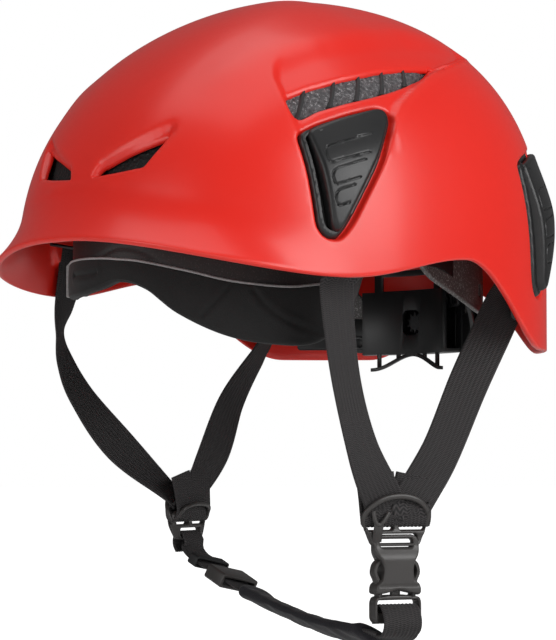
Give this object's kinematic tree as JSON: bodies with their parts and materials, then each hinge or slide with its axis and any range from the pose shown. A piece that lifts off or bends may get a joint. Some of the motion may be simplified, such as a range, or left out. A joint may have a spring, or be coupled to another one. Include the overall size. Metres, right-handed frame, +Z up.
{
  "type": "climbing helmet",
  "caption": "Climbing helmet with vented hard shell, foam liner, headlamp clips, folding head cradle with size wheel, webbing harness and side-release buckle.",
  "frame": {"origin": "on the crown's vertical axis, level with the edge of the shell over the temples", "axes": "+Z up, the helmet's front faces -Y, the wearer's left is +X"},
  "size_m": [0.224, 0.2857, 0.3189],
  "materials": {
    "shell": "glossy",
    "foam": "beaded foam",
    "pad": "brushed",
    "clip": "fine grain",
    "grille": "matte",
    "band": "satin",
    "cradle": "satin",
    "wheel": "matte",
    "metal": "satin",
    "webbing": "ribbed weave",
    "buckle": "satin",
    "sleeve": "knitted"
  },
  "bodies": {
    "root": {"shell": "shell", "foam_liner": "foam", "crown_pad": "pad", "vent_grille_left": "grille", "vent_grille_right": "grille", "clip_base_front_left": "clip", "clip_base_front_right": "clip", "clip_base_rear_left": "clip", "clip_base_rear_right": "clip", "headband": "band", "forehead_pad": "pad", "headband_hanger_front_left": "cradle", "headband_hanger_front_right": "cradle", "headband_hanger_side_left": "cradle", "headband_hanger_side_right": "cradle", "cradle_pivot_left": "metal", "cradle_pivot_right": "metal", "strap_anchor_front_left": "metal", "strap_anchor_front_right": "metal", "strap_anchor_rear_left": "metal", "strap_anchor_rear_right": "metal", "strap_front_left": "webbing", "strap_front_right": "webbing", "strap_rear_left": "webbing", "strap_rear_right": "webbing", "strap_divider_left": "buckle", "strap_divider_right": "buckle", "buckle_socket": "buckle", "strap_keeper": "webbing"},
    "clip_front_left": {"headlamp_clip_front_left": "clip"},
    "clip_front_right": {"headlamp_clip_front_right": "clip"},
    "clip_rear_left": {"headlamp_clip_rear_left": "clip"},
    "clip_rear_right": {"headlamp_clip_rear_right": "clip"},
    "cradle": {"rear_cradle": "cradle", "adjuster_cover": "cradle"},
    "band_left": {"ratchet_band_left": "band"},
    "band_right": {"ratchet_band_right": "band"},
    "wheel": {"adjuster_wheel": "wheel"},
    "tongue": {"buckle_tongue": "buckle", "chin_strap": "webbing", "chin_pad": "sleeve"},
    "prong_front": {"tongue_prong_front": "buckle"},
    "prong_rear": {"tongue_prong_rear": "buckle"},
    "slider": {"strap_slider": "buckle"}
  },
  "joints": [
    {"name": "clip_front_left_lift", "type": "hinge", "parent": "root", "child": "clip_front_left", "pos_m": [0.09657, -0.04983, 0.07212], "axis": [-0.12, -0.9525, -0.2801], "range_deg": [0, 25], "stiffness_Nm_per_rad": 0.05},
    {"name": "clip_front_right_lift", "type": "hinge", "parent": "root", "child": "clip_front_right", "pos_m": [-0.09657, -0.04983, 0.07212], "axis": [-0.12, 0.9525, 0.2801], "range_deg": [0, 25], "stiffness_Nm_per_rad": 0.05},
    {"name": "clip_rear_left_lift", "type": "hinge", "parent": "root", "child": "clip_rear_left", "pos_m": [0.08336, 0.08938, 0.06409], "axis": [0.6372, -0.7446, -0.1988], "range_deg": [0, 25], "stiffness_Nm_per_rad": 0.05},
    {"name": "clip_rear_right_lift", "type": "hinge", "parent": "root", "child": "clip_rear_right", "pos_m": [-0.08336, 0.08938, 0.06409], "axis": [0.6372, 0.7446, 0.1988], "range_deg": [0, 25], "stiffness_Nm_per_rad": 0.05},
    {"name": "cradle_fold", "type": "hinge", "parent": "root", "child": "cradle", "pos_m": [0, 0.022, 0.019], "axis": [1, 0, 0], "range_deg": [0, 55]},
    {"name": "size_wheel_turn", "type": "hinge", "parent": "cradle", "child": "wheel", "pos_m": [0, 0.095, -0.012], "axis": [0, 1, 0], "range_deg": [-110, 110]},
    {"name": "size_band_left_slide", "type": "hinge", "parent": "cradle", "child": "band_left", "pos_m": [0, 0.022, 0], "axis": [0, 0, 1], "range_deg": [-8, 8]},
    {"name": "size_band_right_slide", "type": "hinge", "parent": "cradle", "child": "band_right", "pos_m": [0, 0.022, 0], "axis": [0, 0, 1], "range_deg": [-8, 8]},
    {"name": "buckle_slide", "type": "slide", "parent": "root", "child": "tongue", "axis": [0, 0, -1], "range_m": [0, 0.03], "deforming": ["tongue_prong_front", "tongue_prong_rear", "chin_strap", "chin_pad"]},
    {"name": "prong_rear_squeeze", "type": "hinge", "parent": "tongue", "child": "prong_rear", "pos_m": [0.07791, 0.00799, -0.1506], "axis": [0.9397, -0.342, 0], "range_deg": [0, 14], "stiffness_Nm_per_rad": 0.02},
    {"name": "prong_front_squeeze", "type": "hinge", "parent": "tongue", "child": "prong_front", "pos_m": [0.07209, -0.00799, -0.1506], "axis": [-0.9397, 0.342, 0], "range_deg": [0, 14], "stiffness_Nm_per_rad": 0.02},
    {"name": "chin_slider", "type": "slide", "parent": "root", "child": "slider", "axis": [-0.9162, 0, 0.4008], "range_m": [-0.009, 0.009]}
  ],
  "couplings": [
    {"joint": "size_band_left_slide", "follows": "size_wheel_turn", "ratio": -0.070323},
    {"joint": "size_band_right_slide", "follows": "size_wheel_turn", "ratio": 0.070323}
  ]
}
